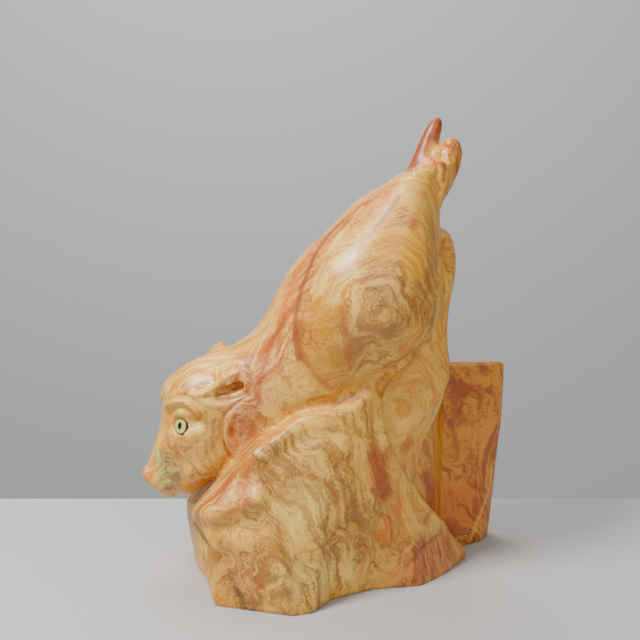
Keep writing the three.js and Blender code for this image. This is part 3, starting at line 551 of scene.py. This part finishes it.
# thin seams: rust-brown lines along the bands, only here and there
seamWhere = addNode(tree, "ShaderNodeTexNoise", {"Scale": 20.0, "Detail": 1.0}, {"Vector": spot})
seamWhere = addNode(tree, "ShaderNodeMapRange", {"From Min": 0.44, "From Max": 0.58, "To Max": 0.8}, {"Value": seamWhere.outputs["Fac"]})
for pattern, middle, wide, tone in ((bands, 0.47, 0.010, "umber"), (streaks, 0.42, 0.022, "rust")):
    seamAway = addNode(tree, "ShaderNodeMath", {"operation": "SUBTRACT", 1: middle}, {0: pattern.outputs["Fac"]})
    seamAway = addNode(tree, "ShaderNodeMath", {"operation": "ABSOLUTE"}, {0: seamAway.outputs[0]})
    seamLine = addNode(tree, "ShaderNodeMapRange", {"From Min": 0.0, "From Max": wide, "To Min": 1.0, "To Max": 0.0}, {"Value": seamAway.outputs[0]})
    seamLine = addNode(tree, "ShaderNodeMath", {"operation": "MULTIPLY"}, {0: seamLine.outputs[0], 1: seamWhere.outputs[0]})
    colour = addNode(tree, "ShaderNodeMix", {"data_type": "RGBA", 7: srgb(stoneTones[tone])}, {0: seamLine.outputs[0], 6: colour.outputs[2]})
polish = addNode(tree, "ShaderNodeMapRange", {"To Min": 0.32, "To Max": 0.44}, {"Value": bands.outputs["Fac"]})
shader = addNode(tree, "ShaderNodeBsdfPrincipled", {"IOR": 1.48, "Coat Weight": 0.08, "Coat Roughness": 0.2},
                 {"Base Color": colour.outputs[2], "Roughness": polish.outputs[0]})
addNode(tree, "ShaderNodeOutputMaterial", {}, {"Surface": shader.outputs[0]})
carving.data.materials.append(marble)
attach(carving, "root")
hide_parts("marble_panther")

# floor: a pale table top that ends behind the carving
print("floor and lights")
tableSet = {"width": 3.0, "near": -1.4, "far": 0.215, "thick": 0.03}
bpy.ops.object.select_all(action="DESELECT")
bpy.ops.mesh.primitive_cube_add(size=1)
table = bpy.context.object
table.name = "table_top"
table.scale = (tableSet["width"], tableSet["far"] - tableSet["near"], tableSet["thick"])
table.location = (0, (tableSet["far"] + tableSet["near"]) / 2, -tableSet["thick"] / 2)
bpy.ops.object.transform_apply(location=True, rotation=True, scale=True)
paper = fresh("pale_matt_paper")
tree = paper.node_tree
shader = addNode(tree, "ShaderNodeBsdfPrincipled", {"Base Color": srgb("#b3b0ae"), "Roughness": 0.9}, {})
addNode(tree, "ShaderNodeOutputMaterial", {}, {"Surface": shader.outputs[0]})
table.data.materials.append(paper)

# wall: the same pale grey, far enough behind for the back views
bpy.ops.object.select_all(action="DESELECT")
bpy.ops.mesh.primitive_plane_add(size=1)
wall = bpy.context.object
wall.name = "grey_wall"
wall.scale = (5, 3.6, 1)
wall.rotation_euler = (math.radians(90), 0, 0)
wall.location = (0, 1.9, 0.6)
bpy.ops.object.transform_apply(location=True, rotation=True, scale=True)
paint = fresh("grey_wall_paint")
tree = paint.node_tree
shader = addNode(tree, "ShaderNodeBsdfPrincipled", {"Base Color": srgb("#b4b6b7"), "Roughness": 0.95}, {})
addNode(tree, "ShaderNodeOutputMaterial", {}, {"Surface": shader.outputs[0]})
wall.data.materials.append(paint)

world = bpy.data.worlds.new("studio")
bpy.context.scene.world = world
world.use_nodes = True
world.node_tree.nodes["Background"].inputs["Color"].default_value = srgb("#b5b5b5")
world.node_tree.nodes["Background"].inputs["Strength"].default_value = 0.9

lamps = [
    {"name": "softbox_left", "place": (-0.95, -0.68, 1.58), "aim": (0, -0.05, 0.3), "size": 0.45, "watts": 52},
    {"name": "softbox_front", "place": (0.55, -1.9, 1.35), "aim": (0, 0, 0.2), "size": 1.2, "watts": 16},
    {"name": "wall_light", "place": (-0.3, 0.7, 2.0), "aim": (0.1, 1.9, 0.5), "size": 1.0, "watts": 34},
]
for lamp in lamps:
    bpy.ops.object.light_add(type="AREA", location=lamp["place"])
    light = bpy.context.object
    light.name = lamp["name"]
    light.data.energy = lamp["watts"]
    light.data.size = lamp["size"]
    light.rotation_euler = (Vector(lamp["aim"]) - Vector(lamp["place"])).to_track_quat("-Z", "Y").to_euler()
